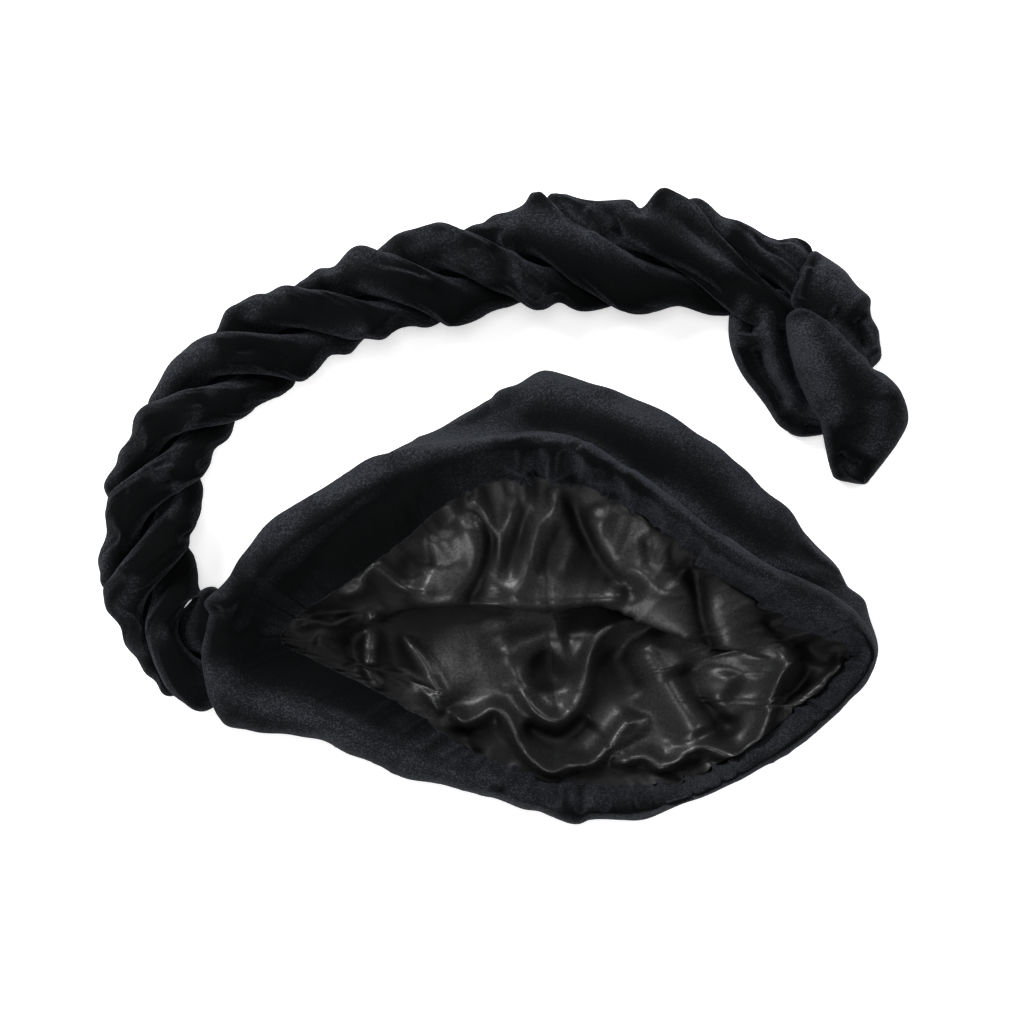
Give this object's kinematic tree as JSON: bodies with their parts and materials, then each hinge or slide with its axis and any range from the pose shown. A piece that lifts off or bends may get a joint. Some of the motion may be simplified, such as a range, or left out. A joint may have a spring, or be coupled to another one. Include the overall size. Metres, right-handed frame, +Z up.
{
  "type": "velvet turban cap with twisted braid",
  "caption": "Black velvet turban cap lying mouth up, satin lined and gathered round the mouth, with a thick twisted velvet braid sewn to one corner and ending in a wrapped fold and tails.",
  "frame": {"origin": "middle of the footprint of cap and braid together, on the surface they lie on", "axes": "+X to the right across the mouth, with the braid's joint at the left; +Y away from the viewer, towards the braid's arc; +Z up, out of the mouth"},
  "size_m": [0.3246, 0.2504, 0.0625],
  "materials": {
    "velvet": "matte stretch velvet with a blue grey sheen",
    "satin": "soft black satin"
  },
  "bodies": {
    "root": {"cap_shell": "velvet", "cap_lining": "satin", "strand_one": "velvet", "strand_two": "velvet", "strand_three": "velvet", "short_tail": "velvet", "long_tail": "velvet", "end_wrap": "velvet"}
  },
  "joints": []
}
